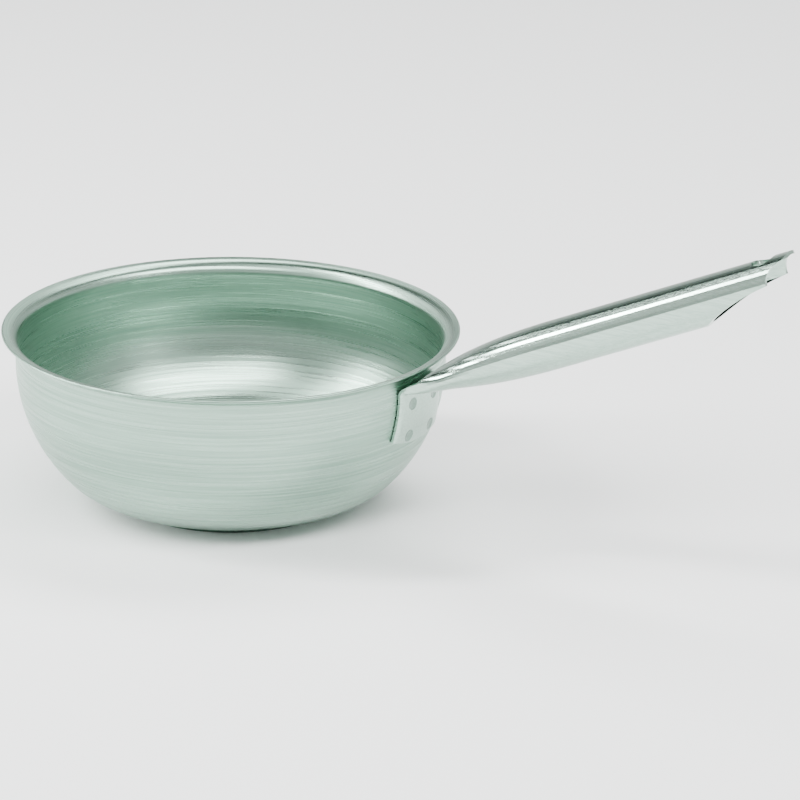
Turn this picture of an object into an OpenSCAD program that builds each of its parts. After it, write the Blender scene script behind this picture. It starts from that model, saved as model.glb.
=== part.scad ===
// Saucier pan: a drawn bowl with a rolled lip on a capped sandwich base, and one tube
// handle that is pressed flat at its root, bent down over the wall and spot welded there.
// Millimetres. The origin is the centre of the resting face, +Z is up and the handle
// reaches out along +X.

/* [Bowl] */
// Outside diameter of the lip
rim_d = 206; // [190:1:236]
// Height from the resting face to the top of the lip
pan_h = 80.5; // [72:0.5:96]
// Diameter of the flat floor
floor_d = 101; // [90:1:112]
// Thickness of the bowl sheet
sheet_t = 1.2; // [0.8:0.1:1.6]
// Angle that the lower corner arc turns through before the wider wall arc takes over
corner_turn = 46.5; // [40:0.5:54]
// Height of the upright band between the wall arc and the lip
upright_h = 7.6; // [5:0.2:12]

/* [Lip] */
// How far the lip stands out past the upright band
lip_out = 6.25; // [5.4:0.05:8]
// Radius of the roll on the underside of the lip
lip_r = 5; // [3.6:0.1:5.2]
// Angle that the lip turns away from upright
lip_turn = 78; // [68:1:82]

/* [Base] */
// Full thickness of the sandwich under the floor
base_t = 4; // [3:0.1:6]
// Thickness of the steel cap under the core
cap_t = 0.7; // [0.5:0.1:1]
// Outside radius of the turn at the foot of the cap
cap_turn_r = 1.8; // [1.4:0.1:2.4]

/* [Handle] */
// Outside diameter of the handle tube
tube_d = 21.4; // [19:0.2:24]
// Wall thickness of the handle tube
tube_t = 1.5; // [1.2:0.1:1.6]
// Rise of the handle above level
handle_tilt = 24; // [16:0.5:30]
// Length along the tube from the root bend to the tip of the tongue
handle_len = 197; // [180:1:240]
// Length over which the pressed root opens into the round tube
neck_len = 75; // [60:1:90]
// Depth of the root bend below the top of the lip
root_drop = 11.3; // [10.5:0.1:12]
// Length of the pressed flange down the wall from the root bend
flange_len = 24.5; // [22:0.5:28]
// Thickness of the pressed flange, both layers of the tube wall together
flange_t = 3.2; // [3:0.1:3.4]
// How much each side of the flange spreads towards its lower edge
flange_spread = 2; // [0:0.5:3]
// Inner radius of the root bend
bend_r = 1.4; // [1:0.1:2]

/* [Tail] */
// Length along the tube from the tip of the tongue back to the heel of the oblique cut
cut_len = 50; // [44:1:56]
// Length along the tube from the tip of the tongue back to the centre of the hanging hole
hole_back = 13.5; // [12:0.5:16]
// Diameter of the hanging hole
hole_d = 11.5; // [9:0.5:12]

/* [Welds] */
// Diameter of a spot weld nugget
weld_d = 5.6; // [4.5:0.1:6.2]
// Distance between the two columns of welds
weld_pitch = 18; // [15:0.5:20]
// Distance of the upper and lower welds from the ends of the flange
weld_margin = 4.7; // [4.2:0.1:5.5]

/* [Hidden] */
$fn = 128;

seat_gap = 0.05;
core_clear = 0.05;
weld_clear = 0.05;
weld_depth = 0.7;
dish_depth = 0.35;
cut_slack = 1;

// Bowl outline, all radii measured to the outer face of the sheet
rim_r = rim_d / 2;
wall_r = rim_r - lip_out;
floor_r = floor_d / 2;
lip_mid_r = lip_r + sheet_t / 2;
lip_land = (lip_out - sheet_t / 2 - lip_r + lip_mid_r * cos(lip_turn)) / sin(lip_turn);
lip_h = lip_mid_r * sin(lip_turn) + lip_land * cos(lip_turn) + sheet_t / 2;
lip_z = pan_h - lip_h;
belly_z = lip_z - upright_h;

// The corner arc and the wall arc share a tangent, so their radii follow from the
// width and height that they fill together
arcs_w = wall_r - floor_r;
arcs_h = belly_z - base_t;
arcs_share = sin(corner_turn) + cos(corner_turn) - 1;
corner_r = (arcs_w * cos(corner_turn) - arcs_h * (1 - sin(corner_turn))) / arcs_share;
belly_r = (arcs_h * sin(corner_turn) - arcs_w * (1 - cos(corner_turn))) / arcs_share;
belly_x = wall_r - belly_r;

// Handle path in the plane y = 0, from the flange up and round the bend and out along the tube
tube_r = tube_d / 2;
flange_mid = seat_gap + flange_t / 2;
bend_mid_r = bend_r + flange_t / 2;
bend_x = wall_r + flange_mid + bend_mid_r;
bend_z = pan_h - root_drop;
root_x = bend_x - bend_mid_r * sin(handle_tilt);
root_z = bend_z + bend_mid_r * cos(handle_tilt);
flange_up = bend_z - belly_z;
flange_low_z = belly_z - (belly_r + flange_mid) * sin(flange_turn(flange_len));
flange_edge_r = 60;
pressed_power = 8;
neck_rise = 25;
half_pressed = pressed_half_width(flange_t / 2);

// Tail cut, measured along the tube from the root bend and up from its axis
tongue_up = 8.6;
bite_r = 9;
bite_x = handle_len - 2;
sweep_r = 124;
sweep_top = 1.1;
sweep_x = handle_len - cut_len + sqrt(pow(sweep_r, 2) - pow(sweep_r - sweep_top - tube_r, 2));
tip_r = 10.2;

// Points round a loft section, stations along each stretch of it, and steps round an arc
ring_n = 48;
flange_steps = 4;
bend_steps = 6;
neck_steps = 18;
arc_steps = 20;
edge_steps = 8;

bowl_colour = [0.70, 0.77, 0.73];
core_colour = [0.80, 0.81, 0.82];
cap_colour = [0.42, 0.50, 0.46];
handle_colour = [0.74, 0.79, 0.75];
weld_colour = [0.58, 0.66, 0.61];

// A band of sheet bent round a centre, between two radii and two angles under 90 degrees apart
module arc_band(centre, r_in, r_out, from_angle, to_angle) {
    reach = 2 * r_out;
    mid_angle = (from_angle + to_angle) / 2;
    translate(centre) intersection() {
        difference() {
            circle(r_out);
            circle(r_in);
        }
        polygon([
            [0, 0],
            reach * [cos(from_angle), sin(from_angle)],
            reach * [cos(mid_angle), sin(mid_angle)],
            reach * [cos(to_angle), sin(to_angle)]
        ]);
    }
}

// Points along an arc round a centre
function arc_points(centre, r, from_angle, to_angle, steps) = [
    for (i = [0 : steps])
        let (angle = from_angle + (to_angle - from_angle) * i / steps)
        centre + r * [cos(angle), sin(angle)]
];

// One face of the bowl sheet from floor to lip, at a depth behind the outer face
function bowl_face(depth) = concat(
    [[0, base_t + depth]],
    arc_points([floor_r, base_t + corner_r], corner_r - depth, -90, corner_turn - 90, arc_steps),
    arc_points([belly_x, belly_z], belly_r - depth, corner_turn - 90, 0, arc_steps),
    arc_points([wall_r + lip_r, lip_z], lip_r + depth, 180, 180 - lip_turn, arc_steps)
);

// Half section of the bowl sheet, closed round the edge of the lip
module bowl_section() {
    lip_centre = [wall_r + lip_r, lip_z];
    along = [sin(lip_turn), cos(lip_turn)];
    edge = lip_centre + lip_mid_r * [-cos(lip_turn), sin(lip_turn)] + lip_land * along;
    inner = bowl_face(sheet_t);
    last = len(inner) - 1;
    polygon(concat(
        bowl_face(0),
        arc_points(edge, sheet_t / 2, -lip_turn, 180 - lip_turn, edge_steps),
        [for (i = [last : -1 : 0]) inner[i]]
    ));
}

// Turn of the wall arc, in degrees below level, at a distance down the flange from the bend
function flange_turn(d) = max(0, d - flange_up) / (belly_r + flange_mid) * 180 / PI;

// Place children on the outer face of the wall with +Z along its outward normal, at a
// sideways offset and a distance down the flange
module on_wall(side, d) {
    turn = flange_turn(d);
    face_x = belly_x + belly_r * cos(turn);
    face_z = belly_z + max(0, flange_up - d) - belly_r * sin(turn);
    rotate([0, 0, asin(side / face_x)])
        translate([face_x, 0, face_z]) rotate([0, 90 + turn, 0]) children();
}

// Children repeated at the four welds
module at_welds() {
    for (side = [-1, 1], d = [weld_margin, flange_len - weld_margin])
        on_wall(side * weld_pitch / 2, d) children();
}

module bowl() {
    color(bowl_colour) difference() {
        rotate_extrude() bowl_section();
        at_welds() translate([0, 0, -weld_depth]) cylinder(r = weld_d / 2 + weld_clear, h = flange_t);
    }
}

module base_core() {
    core_r = floor_r - cap_t - core_clear;
    core_turn_r = cap_turn_r - cap_t - core_clear;
    color(core_colour) rotate_extrude() union() {
        translate([0, cap_t]) square([core_r - core_turn_r, base_t - cap_t]);
        translate([0, cap_t + core_turn_r]) square([core_r, base_t - cap_t - core_turn_r]);
        translate([core_r - core_turn_r, cap_t + core_turn_r]) circle(core_turn_r);
    }
}

module base_cap() {
    color(cap_colour) rotate_extrude() union() {
        square([floor_r - cap_turn_r, cap_t]);
        arc_band([floor_r - cap_turn_r, cap_turn_r], cap_turn_r - cap_t, cap_turn_r, -90, 0);
        translate([floor_r - cap_t, cap_turn_r]) square([cap_t, base_t - cap_turn_r]);
    }
}

// Half width that a pressed tube has when its girth stays the same and its half height is b
function pressed_half_width(b) = tube_r * (PI / 2 - (PI / 2 - 1) * pow(b / tube_r, 1.7));

// Half height of the tube at a fraction of the neck, opening fast at the root and levelling out
function neck_half_height(f) =
    flange_t / 2 * (2 * pow(f, 3) - 3 * pow(f, 2) + 1)
    + neck_rise * (pow(f, 3) - 2 * pow(f, 2) + f)
    + tube_r * (3 * pow(f, 2) - 2 * pow(f, 3));

// Stations of the loft: [x, z, heading, wrap round the wall, half width, half height, power]
function flange_stations() = [
    for (i = [0 : flange_steps])
        let (
            turn = flange_turn(flange_len + 2 * cut_slack) * (1 - i / flange_steps),
            far = belly_r + flange_mid,
            spread = flange_spread * (1 - i / flange_steps)
        )
        [belly_x + far * cos(turn), belly_z - far * sin(turn), 90 - turn, 1,
            half_pressed + spread, flange_t / 2, pressed_power]
];

function bend_stations() = [
    for (i = [0 : bend_steps])
        let (heading = 90 - (90 - handle_tilt) * i / bend_steps)
        [bend_x - bend_mid_r * sin(heading), bend_z + bend_mid_r * cos(heading), heading, 1,
            half_pressed, flange_t / 2, pressed_power]
];

function neck_station(f) =
    let (
        run = neck_len * f,
        b = neck_half_height(f),
        flatness = pow(max(0, 1 - 4 * f), 2)
    )
    [root_x + run * cos(handle_tilt), root_z + run * sin(handle_tilt), handle_tilt,
        pow(max(0, 1 - 3 * f), 2), pressed_half_width(b), b, 2 + (pressed_power - 2) * flatness];

function neck_stations(from) = [for (i = [from : neck_steps]) neck_station(pow(i / neck_steps, 1.4))];

function tube_station(run) = [root_x + run * cos(handle_tilt), root_z + run * sin(handle_tilt),
    handle_tilt, 0, tube_r, tube_r, 2];

// One point of a section: a rounded oblong whose corners tighten as the power rises
function section_point(s, i, inset) =
    let (
        angle = 360 * i / ring_n,
        c = cos(angle),
        side = (s[4] - inset) * c,
        rise = (s[5] - inset) * sign(sin(angle)) * pow(max(0, 1 - pow(abs(c), s[6])), 1 / s[6]),
        x = s[0] - rise * sin(s[2]),
        z = s[1] + rise * cos(s[2]),
        bend = s[3] / x
    )
    bend == 0 ? [x, side, z]
        : [x - (1 - cos(bend * side * 180 / PI)) / bend, sin(bend * side * 180 / PI) / bend, z];

// A closed skin through a list of stations
module loft(stations, inset) {
    last = len(stations) - 1;
    half = ring_n / 2;
    points = [for (s = stations, i = [0 : ring_n - 1]) section_point(s, i, inset)];
    sides = [
        for (k = [0 : last - 1], i = [0 : ring_n - 1])
            let (a = k * ring_n + i, b = k * ring_n + (i + 1) % ring_n)
            each [[b + ring_n, b, a], [a + ring_n, b + ring_n, a]]
    ];
    start_cap = [
        for (i = [0 : half - 1])
            let (far = (ring_n - i) % ring_n, far_next = ring_n - i - 1)
            each concat(
                i == 0 ? [] : [[i + 1, far, i]],
                i == half - 1 ? [] : [[far_next, far, i + 1]]
            )
    ];
    end_cap = [for (f = start_cap) [for (p = [2 : -1 : 0]) f[p] + last * ring_n]];
    polyhedron(points, concat(sides, start_cap, end_cap));
}

// Place children in the tube's own frame: +X along the tube from the root bend, +Z its upper side
module on_tube() {
    translate([root_x, 0, root_z]) rotate([0, -handle_tilt, 0]) children();
}

// Everything that the oblique cut and the rounding of the tongue take off the tail
module tail_cut() {
    wide = tube_d + 2 * cut_slack;
    below = tube_r + cut_slack;
    heel_angle = 180 - asin((sweep_r - sweep_top - below) / sweep_r);
    meet_angle = 90 + asin((sweep_x - bite_x + bite_r) / sweep_r);
    meet_up = sweep_top - sweep_r + sweep_r * sin(meet_angle);
    bite_angle = 180 - asin((meet_up - tongue_up + bite_r) / bite_r);
    rotate([90, 0, 0]) translate([0, 0, -wide / 2]) linear_extrude(wide) polygon(concat(
        arc_points([sweep_x, sweep_top - sweep_r], sweep_r, heel_angle, meet_angle, arc_steps),
        arc_points([bite_x, tongue_up - bite_r], bite_r, bite_angle, 90, arc_steps),
        [[handle_len + wide, tongue_up], [handle_len + wide, -below]]
    ));
    difference() {
        translate([handle_len - tip_r, -wide / 2, 0]) cube([2 * tip_r, wide, wide]);
        translate([handle_len - tip_r, 0, -cut_slack]) cylinder(r = tip_r, h = wide + 2 * cut_slack);
    }
}

// What is cut away below the curved lower edge of the flange
module flange_edge_cut() {
    wide = 2 * (half_pressed + flange_spread) + 2 * cut_slack;
    deep = 3 * flange_t;
    difference() {
        translate([wall_r - deep, -wide / 2, flange_low_z - deep]) cube([2 * deep, wide, 2 * deep]);
        translate([wall_r - deep - cut_slack, 0, flange_low_z + flange_edge_r]) rotate([0, 90, 0])
            cylinder(r = flange_edge_r, h = 2 * deep + 2 * cut_slack);
    }
}

module handle() {
    hollow_from = 4;
    skin = concat(flange_stations(), bend_stations(), neck_stations(1), [tube_station(handle_len)]);
    hollow = concat(neck_stations(hollow_from), [tube_station(handle_len + cut_slack)]);
    color(handle_colour) difference() {
        loft(skin, 0);
        loft(hollow, tube_t);
        on_tube() tail_cut();
        on_tube() translate([handle_len - hole_back, 0, 0]) cylinder(r = hole_d / 2, h = tube_d);
        flange_edge_cut();
        at_welds() translate([0, 0, -cut_slack])
            cylinder(r = weld_d / 2 + weld_clear, h = 3 * flange_t);
    }
}

// One nugget, from its root in the wall to the dish that the electrode leaves on the flange
module nugget() {
    top = seat_gap + flange_t;
    dish_r = (pow(weld_d / 2, 2) + pow(dish_depth, 2)) / (2 * dish_depth);
    difference() {
        translate([0, 0, -weld_depth]) cylinder(r = weld_d / 2, h = top + weld_depth);
        translate([0, 0, top - dish_depth + dish_r]) sphere(dish_r);
    }
}

module spot_welds() {
    color(weld_colour) at_welds() nugget();
}

bowl();
base_core();
base_cap();
handle();
spot_welds();
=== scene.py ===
"""Finishes, studio and camera for the saucier pan.

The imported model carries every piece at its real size. This script gives each piece the
surface of its real metal, stands the pan on a pale floor and looks at it from the
photograph's side.
"""
import logging
import math
from dataclasses import dataclass
from enum import Enum

import bpy
from mathutils import Matrix, Vector

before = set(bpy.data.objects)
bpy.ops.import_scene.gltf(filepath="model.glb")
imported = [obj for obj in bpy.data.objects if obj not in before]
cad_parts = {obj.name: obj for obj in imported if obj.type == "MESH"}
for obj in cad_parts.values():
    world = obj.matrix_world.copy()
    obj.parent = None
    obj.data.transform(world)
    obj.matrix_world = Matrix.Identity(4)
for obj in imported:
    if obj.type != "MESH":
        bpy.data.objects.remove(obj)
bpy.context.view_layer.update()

LOG = logging.getLogger("saucier")

HANDLE_TILT = math.radians(24.0)
FRAME_PX = 800.0
SENSOR_MM = 36.0
LAMP_AIM = Vector((0.0, 0.0, 0.04))

# How the lines of a grain are drawn: how long they run, where they fade, how deep they are.
LINES_PER_METRE_OF_TUBE = 12.0
LINES_PER_TURN = 1.6
FADE_FROM, FADE_TO = 0.7, 1.3
LINE_DEPTH = 0.00005

# The room round the lamps: pale at the horizon, dark green-grey overhead.
HORIZON, HORIZON_AT = "#FFFFFF", 0.25
CEILING, CEILING_AT = "#1C2F27", 0.55
ROOM_STRENGTH = 1.1
FLOOR_ROUGHNESS = 0.9


class Grain(Enum):
    """Which way the fine lines of a metal finish run."""

    ROUND_AXIS = "round the axis of the bowl"
    ALONG_HANDLE = "along the handle tube"


@dataclass(frozen=True)
class Finish:
    """One metal surface.

    Attributes:
        name: Material name.
        colour: sRGB hex colour of the bare metal, except the cap, whose colour and tint are
            painted darker as shade under the bowl.
        tint: sRGB hex colour that the grain fades towards.
        roughness: Lowest and highest roughness across the grain.
        grain: Direction of the lines.
        line_mm: Width of the coarse lines, in millimetres.
        fine_mm: Width of the fine lines, in millimetres.
        relief: Strength of the bump that the lines give.
        stretch: Anisotropy of the highlight.
    """

    name: str
    colour: str
    tint: str
    roughness: tuple[float, float]
    grain: Grain
    line_mm: float
    fine_mm: float
    relief: float
    stretch: float


# Drawn stainless sheet, brushed on a turning spindle: the lines run round the axis, so
# every light draws out into an upright streak.
BOWL_STEEL = Finish(
    name="bowl_steel", colour="#A3BDAF", tint="#86A394", roughness=(0.22, 0.38),
    grain=Grain.ROUND_AXIS, line_mm=1.4, fine_mm=0.35, relief=0.22, stretch=0.75)
# Rolled disc, never seen: plain, slightly dull aluminium.
CORE_ALUMINIUM = Finish(
    name="core_aluminium", colour="#D6D8DA", tint="#C6C9CC", roughness=(0.35, 0.5),
    grain=Grain.ROUND_AXIS, line_mm=1.0, fine_mm=0.4, relief=0.1, stretch=0.3)
# Pressed cap: the same steel with a duller satin; its colour and tint are painted darker as
# shade under the foot of the bowl.
SHADE_PAINTED_CAP_STEEL = Finish(
    name="cap_steel", colour="#71897D", tint="#5A7066", roughness=(0.3, 0.48),
    grain=Grain.ROUND_AXIS, line_mm=0.9, fine_mm=0.3, relief=0.2, stretch=0.6)
# Drawn tube, buffed along its length: near mirror with faint long lines.
HANDLE_STEEL = Finish(
    name="handle_steel", colour="#B4CABE", tint="#9CB5A8", roughness=(0.10, 0.2),
    grain=Grain.ALONG_HANDLE, line_mm=0.9, fine_mm=0.3, relief=0.06, stretch=0.35)
# Steel that the electrodes pressed and slightly burnt: a little darker than the tube.
WELD_STEEL = Finish(
    name="weld_steel", colour="#889F93", tint="#71877C", roughness=(0.22, 0.4),
    grain=Grain.ALONG_HANDLE, line_mm=0.6, fine_mm=0.25, relief=0.15, stretch=0.0)

FINISHES = {
    "bowl": BOWL_STEEL,
    "base_core": CORE_ALUMINIUM,
    # The cap's colour and tint hold painted shade under the bowl.
    "base_cap": SHADE_PAINTED_CAP_STEEL,
    "handle": HANDLE_STEEL,
    "spot_welds": WELD_STEEL,
}


def linear(hex_colour: str) -> tuple[float, float, float, float]:
    """Turns an sRGB hex colour into the linear colour that shaders take.

    Args:
        hex_colour: Colour such as "#A3BDAF".

    Returns:
        Linear red, green, blue and an alpha of 1.
    """
    channels = [int(hex_colour[i:i + 2], 16) / 255 for i in (1, 3, 5)]
    line = [c / 12.92 if c <= 0.04045 else ((c + 0.055) / 1.055) ** 2.4 for c in channels]
    return (line[0], line[1], line[2], 1.0)


def add_node(tree: bpy.types.NodeTree, kind: str, inputs: dict | None = None,
             **settings: object) -> bpy.types.Node:
    """Adds a node, sets its properties, and sets or links its inputs.

    Args:
        tree: Node tree that takes the node.
        kind: Blender's node type name.
        inputs: Input name or index to a value, or to an output socket to link from.
        settings: Node properties.

    Returns:
        The new node.
    """
    node = tree.nodes.new(kind)
    for name, value in settings.items():
        setattr(node, name, value)
    for key, value in (inputs or {}).items():
        if isinstance(value, bpy.types.NodeSocket):
            tree.links.new(value, node.inputs[key])
        else:
            node.inputs[key].default_value = value
    return node


class SteelMaterial:
    """A brushed or buffed metal, built from one finish."""

    def __init__(self, finish: Finish) -> None:
        """Builds the material.

        Args:
            finish: Surface to build.
        """
        self.finish = finish
        self.material = bpy.data.materials.new(finish.name)
        self.material.use_nodes = True
        self.tree = self.material.node_tree
        self.tree.nodes.clear()
        self._build()

    def _lines(self, width_mm: float, detail: float) -> bpy.types.NodeSocket:
        """Noise drawn out along the grain.

        Args:
            width_mm: Width of one line.
            detail: Detail of the noise.

        Returns:
            The noise factor.
        """
        place = add_node(self.tree, "ShaderNodeTexCoord").outputs["Object"]
        across = 1000.0 / width_mm
        if self.finish.grain is Grain.ALONG_HANDLE:
            turned = add_node(self.tree, "ShaderNodeMapping",
                              {"Vector": place, "Rotation": (0.0, HANDLE_TILT, 0.0),
                               "Scale": (LINES_PER_METRE_OF_TUBE, across, across)})
            noise = add_node(self.tree, "ShaderNodeTexNoise",
                             {"Vector": turned.outputs[0], "Scale": 1.0, "Detail": detail})
            return noise.outputs["Fac"]
        level = self._vector("MULTIPLY", {0: place, 1: (1.0, 1.0, 0.0)}).outputs[0]
        radius = self._vector("LENGTH", {0: level}).outputs["Value"]
        heading = self._vector("NORMALIZE", {0: level}).outputs[0]
        parts = add_node(self.tree, "ShaderNodeSeparateXYZ", {0: heading}).outputs
        height = add_node(self.tree, "ShaderNodeSeparateXYZ", {0: place}).outputs["Z"]
        along = add_node(self.tree, "ShaderNodeCombineXYZ",
                         {"X": self._times(parts["X"], LINES_PER_TURN),
                          "Y": self._times(parts["Y"], LINES_PER_TURN),
                          "Z": self._times(height, across)}).outputs[0]
        noise = add_node(self.tree, "ShaderNodeTexNoise",
                         {"Vector": along, "W": self._times(radius, across),
                          "Scale": 1.0, "Detail": detail},
                         noise_dimensions="4D")
        return noise.outputs["Fac"]

    def _vector(self, operation: str, inputs: dict) -> bpy.types.Node:
        """Adds a vector sum.

        Args:
            operation: Blender's name of the sum.
            inputs: Its inputs.

        Returns:
            The new node.
        """
        return add_node(self.tree, "ShaderNodeVectorMath", inputs, operation=operation)

    def _times(self, value: bpy.types.NodeSocket, factor: float) -> bpy.types.NodeSocket:
        """Multiplies a socket by a number.

        Args:
            value: Socket to multiply.
            factor: Number to multiply it by.

        Returns:
            The product.
        """
        return add_node(self.tree, "ShaderNodeMath", {0: value, 1: factor},
                        operation="MULTIPLY").outputs[0]

    def _build(self) -> None:
        """Joins the lines into colour, roughness and bump."""
        finish = self.finish
        low, high = finish.roughness
        coarse = self._lines(finish.line_mm, 2.0)
        fine = self._lines(finish.fine_mm, 1.0)
        both = add_node(self.tree, "ShaderNodeMath", {0: coarse, 1: fine},
                        operation="ADD").outputs[0]
        sharp = add_node(self.tree, "ShaderNodeMapRange",
                         {"Value": both, "From Min": FADE_FROM, "From Max": FADE_TO}).outputs[0]
        colour = add_node(self.tree, "ShaderNodeMix",
                          {0: sharp, 6: linear(finish.colour), 7: linear(finish.tint)},
                          data_type="RGBA").outputs[2]
        rough = add_node(self.tree, "ShaderNodeMapRange",
                         {"Value": sharp, "To Min": low, "To Max": high}).outputs[0]
        bump = add_node(self.tree, "ShaderNodeBump",
                        {"Height": sharp, "Strength": finish.relief,
                         "Distance": LINE_DEPTH}).outputs[0]
        inputs = {"Base Color": colour, "Metallic": 1.0, "Roughness": rough,
                  "Normal": bump, "Anisotropic": finish.stretch}
        if finish.grain is Grain.ROUND_AXIS:
            inputs["Tangent"] = add_node(self.tree, "ShaderNodeTangent",
                                         direction_type="RADIAL", axis="Z").outputs[0]
        shader = add_node(self.tree, "ShaderNodeBsdfPrincipled", inputs)
        add_node(self.tree, "ShaderNodeOutputMaterial", {"Surface": shader.outputs[0]})


@dataclass
class Viewpoint:
    """The photograph's camera.

    Attributes:
        azimuth: Degrees that the handle turns towards the viewer.
        elevation: Degrees above level.
        roll: Degrees that the frame is turned.
        distance: Metres from the target.
        focal_px: Focal length in pixels of the photograph's frame.
        target_right: Metres that the target lies to the right of the bowl's axis.
        target_up: Metres that the target lies above the floor.
    """

    azimuth: float = 29.5
    elevation: float = 19.26
    roll: float = 0.5
    distance: float = 2.5
    focal_px: float = 5542.0
    target_right: float = 0.0762
    target_up: float = 0.0462

    def right(self) -> Vector:
        """Direction to the right of the frame."""
        a = math.radians(self.azimuth)
        return Vector((math.cos(a), math.sin(a), 0.0))

    def toward(self, azimuth: float, elevation: float) -> Vector:
        """Direction from the pan towards a place round it.

        Args:
            azimuth: Degrees round from the camera, to the right.
            elevation: Degrees above level.

        Returns:
            Unit vector.
        """
        a, e = math.radians(self.azimuth + azimuth), math.radians(elevation)
        return Vector((math.sin(a) * math.cos(e), -math.cos(a) * math.cos(e), math.sin(e)))

    def build(self) -> None:
        """Makes the camera and sets it as the scene's own."""
        back = self.toward(0.0, self.elevation)
        right = self.right()
        up = back.cross(right)
        turn = Matrix((right, up, back)).transposed().to_4x4()
        place = self.target_right * right + Vector((0, 0, self.target_up)) + self.distance * back
        data = bpy.data.cameras.new("photo_camera")
        data.sensor_width = SENSOR_MM
        data.lens = self.focal_px * SENSOR_MM / FRAME_PX
        camera = bpy.data.objects.new("photo_camera", data)
        bpy.context.scene.collection.objects.link(camera)
        roll = Matrix.Rotation(math.radians(self.roll), 4, "Z")
        camera.matrix_world = Matrix.Translation(place) @ turn @ roll
        bpy.context.scene.camera = camera


@dataclass(frozen=True)
class Lamp:
    """One soft light of the studio.

    Attributes:
        name: Object name.
        azimuth: Degrees round from the camera, to the right.
        elevation: Degrees above level.
        distance: Metres from the bowl.
        size: Width and height in metres.
        power: Watts.
    """

    name: str
    azimuth: float
    elevation: float
    distance: float
    size: tuple[float, float]
    power: float


LAMPS = (
    Lamp("key_left", -88.0, 30.0, 1.3, (0.16, 1.4), 40.0),
    Lamp("front_box", 20.0, 48.0, 1.6, (2.2, 0.5), 46.0),
    Lamp("edge_right", 49.0, 34.0, 1.6, (0.06, 1.0), 3.0),
    Lamp("edge_back_left", -124.0, 36.0, 1.6, (0.06, 1.0), 3.0),
    Lamp("over", 150.0, 62.0, 1.8, (1.6, 0.8), 40.0),
)


@dataclass
class Studio:
    """Pale floor, soft lights and a dim room round them.

    Attributes:
        view: Camera that the lamps are placed from.
        floor_half: Half width of the floor, in metres.
        floor_colour: sRGB hex colour of the floor.
    """

    view: Viewpoint
    floor_half: float = 6.0
    floor_colour: str = "#FBFCFC"

    def build(self) -> None:
        """Makes the floor, the room light and every lamp."""
        self._floor()
        self._room()
        for lamp in LAMPS:
            self._lamp(lamp)

    def _floor(self) -> None:
        """Makes the floor at the level of the resting face."""
        bpy.ops.mesh.primitive_plane_add(size=2 * self.floor_half, location=(0, 0, 0))
        floor = bpy.context.object
        floor.name = "floor"
        material = bpy.data.materials.new("floor_paper")
        material.use_nodes = True
        shader = material.node_tree.nodes["Principled BSDF"]
        shader.inputs["Base Color"].default_value = linear(self.floor_colour)
        shader.inputs["Roughness"].default_value = FLOOR_ROUGHNESS
        floor.data.materials.append(material)

    def _room(self) -> None:
        """Gives the room a pale horizon and a dim ceiling."""
        world = bpy.data.worlds.new("room")
        bpy.context.scene.world = world
        world.use_nodes = True
        tree = world.node_tree
        tree.nodes.clear()
        place = add_node(tree, "ShaderNodeTexCoord").outputs["Generated"]
        height = add_node(tree, "ShaderNodeSeparateXYZ", {0: place}).outputs["Z"]
        ramp = add_node(tree, "ShaderNodeValToRGB", {"Fac": height})
        stops = ramp.color_ramp.elements
        stops[0].position, stops[0].color = HORIZON_AT, linear(HORIZON)
        stops[1].position, stops[1].color = CEILING_AT, linear(CEILING)
        background = add_node(tree, "ShaderNodeBackground",
                              {"Color": ramp.outputs[0], "Strength": ROOM_STRENGTH})
        add_node(tree, "ShaderNodeOutputWorld", {"Surface": background.outputs[0]})

    def _lamp(self, lamp: Lamp) -> None:
        """Adds one area light that faces the bowl.

        Args:
            lamp: Light to add.
        """
        data = bpy.data.lights.new(lamp.name, "AREA")
        data.shape = "RECTANGLE"
        data.size, data.size_y = lamp.size
        data.energy = lamp.power
        light = bpy.data.objects.new(lamp.name, data)
        bpy.context.scene.collection.objects.link(light)
        way = self.view.toward(lamp.azimuth, lamp.elevation)
        light.location = LAMP_AIM + lamp.distance * way
        light.rotation_euler = way.to_track_quat("Z", "Y").to_euler()


def dress(node: str, finish: Finish) -> None:
    """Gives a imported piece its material.

    Args:
        node: Name of the piece.
        finish: Surface to give it.
    """
    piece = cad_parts[node]
    material = SteelMaterial(finish).material
    if piece.data.materials:
        for i in range(len(piece.data.materials)):
            piece.data.materials[i] = material
    else:
        piece.data.materials.append(material)


def main() -> None:
    """Dresses every piece, builds the studio and reports the pieces."""
    logging.basicConfig(level=logging.INFO, format="%(message)s")
    view = Viewpoint()
    view.build()
    Studio(view).build()
    for node, finish in FINISHES.items():
        dress(node, finish)
        LOG.info("%s: %s", node, finish.name)


if __name__ == "__main__":
    main()
